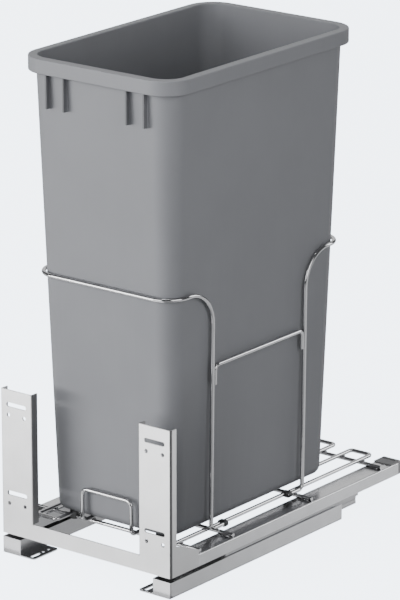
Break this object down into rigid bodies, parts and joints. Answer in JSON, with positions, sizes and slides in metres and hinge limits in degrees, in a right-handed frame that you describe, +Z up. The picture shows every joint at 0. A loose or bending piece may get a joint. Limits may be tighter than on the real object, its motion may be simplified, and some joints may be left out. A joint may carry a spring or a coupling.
{
  "type": "pull-out bin frame",
  "caption": "Tall tapered grey bin in a chrome wire cradle that pulls out on ball-bearing floor slides, with a slotted steel bracket for the cabinet door.",
  "frame": {"origin": "on the cabinet floor, at the middle of the closed frame's width and depth", "axes": "+Z up; -Y towards the cabinet door, the way the frame pulls out; +X to the right seen from the back"},
  "size_m": [0.254, 0.46, 0.6051],
  "materials": {
    "slide_steel": "zinc-plated, satin",
    "bracket_steel": "zinc-plated, satin",
    "cage_steel": "plain sheet",
    "bearing_steel": "polished",
    "bumper_rubber": "matt black",
    "chrome_wire": "bright chrome plate",
    "cap_plastic": "moulded, matt",
    "clip_plastic": "moulded, matt",
    "bin_plastic": "moulded, fine matt grain"
  },
  "bodies": {
    "cabinet": {"left_cabinet_runner": "slide_steel", "right_cabinet_runner": "slide_steel", "left_front_bumper": "bumper_rubber", "right_front_bumper": "bumper_rubber"},
    "left_middle": {"left_middle_runner": "slide_steel"},
    "right_middle": {"right_middle_runner": "slide_steel"},
    "left_lower_bearing": {"left_lower_cage": "cage_steel", "left_lower_balls": "bearing_steel"},
    "right_lower_bearing": {"right_lower_cage": "cage_steel", "right_lower_balls": "bearing_steel"},
    "left_upper_bearing": {"left_upper_cage": "cage_steel", "left_upper_balls": "bearing_steel"},
    "right_upper_bearing": {"right_upper_cage": "cage_steel", "right_upper_balls": "bearing_steel"},
    "frame": {"left_carrier_rail": "slide_steel", "right_carrier_rail": "slide_steel", "left_end_cap": "cap_plastic", "right_end_cap": "cap_plastic", "door_bracket": "bracket_steel", "front_cross_wire": "chrome_wire", "second_cross_wire": "chrome_wire", "third_cross_wire": "chrome_wire", "rear_cross_wire": "chrome_wire", "left_rack_loop": "chrome_wire", "right_rack_loop": "chrome_wire", "centre_rack_loop": "chrome_wire", "front_hoop": "chrome_wire", "rear_hoop": "chrome_wire", "left_side_bar": "chrome_wire", "right_side_bar": "chrome_wire", "hoop_clips": "clip_plastic", "cross_clips": "clip_plastic"},
    "bin": {"bin": "bin_plastic"}
  },
  "joints": [
    {"name": "frame_slide", "type": "slide", "parent": "cabinet", "child": "frame", "axis": [0, -1, 0], "range_m": [0, 0.4]},
    {"name": "left_middle_slide", "type": "slide", "parent": "cabinet", "child": "left_middle", "axis": [0, -1, 0], "range_m": [0, 0.2]},
    {"name": "right_middle_slide", "type": "slide", "parent": "cabinet", "child": "right_middle", "axis": [0, -1, 0], "range_m": [0, 0.2]},
    {"name": "left_lower_bearing_slide", "type": "slide", "parent": "cabinet", "child": "left_lower_bearing", "axis": [0, -1, 0], "range_m": [0, 0.1]},
    {"name": "right_lower_bearing_slide", "type": "slide", "parent": "cabinet", "child": "right_lower_bearing", "axis": [0, -1, 0], "range_m": [0, 0.1]},
    {"name": "left_upper_bearing_slide", "type": "slide", "parent": "cabinet", "child": "left_upper_bearing", "axis": [0, -1, 0], "range_m": [0, 0.3]},
    {"name": "right_upper_bearing_slide", "type": "slide", "parent": "cabinet", "child": "right_upper_bearing", "axis": [0, -1, 0], "range_m": [0, 0.3]},
    {"name": "bin_lift", "type": "slide", "parent": "frame", "child": "bin", "axis": [0, 0, 1], "range_m": [0, 0.32]}
  ],
  "couplings": [
    {"joint": "left_middle_slide", "follows": "frame_slide", "ratio": 0.5},
    {"joint": "right_middle_slide", "follows": "frame_slide", "ratio": 0.5},
    {"joint": "left_lower_bearing_slide", "follows": "frame_slide", "ratio": 0.25},
    {"joint": "right_lower_bearing_slide", "follows": "frame_slide", "ratio": 0.25},
    {"joint": "left_upper_bearing_slide", "follows": "frame_slide", "ratio": 0.75},
    {"joint": "right_upper_bearing_slide", "follows": "frame_slide", "ratio": 0.75}
  ]
}
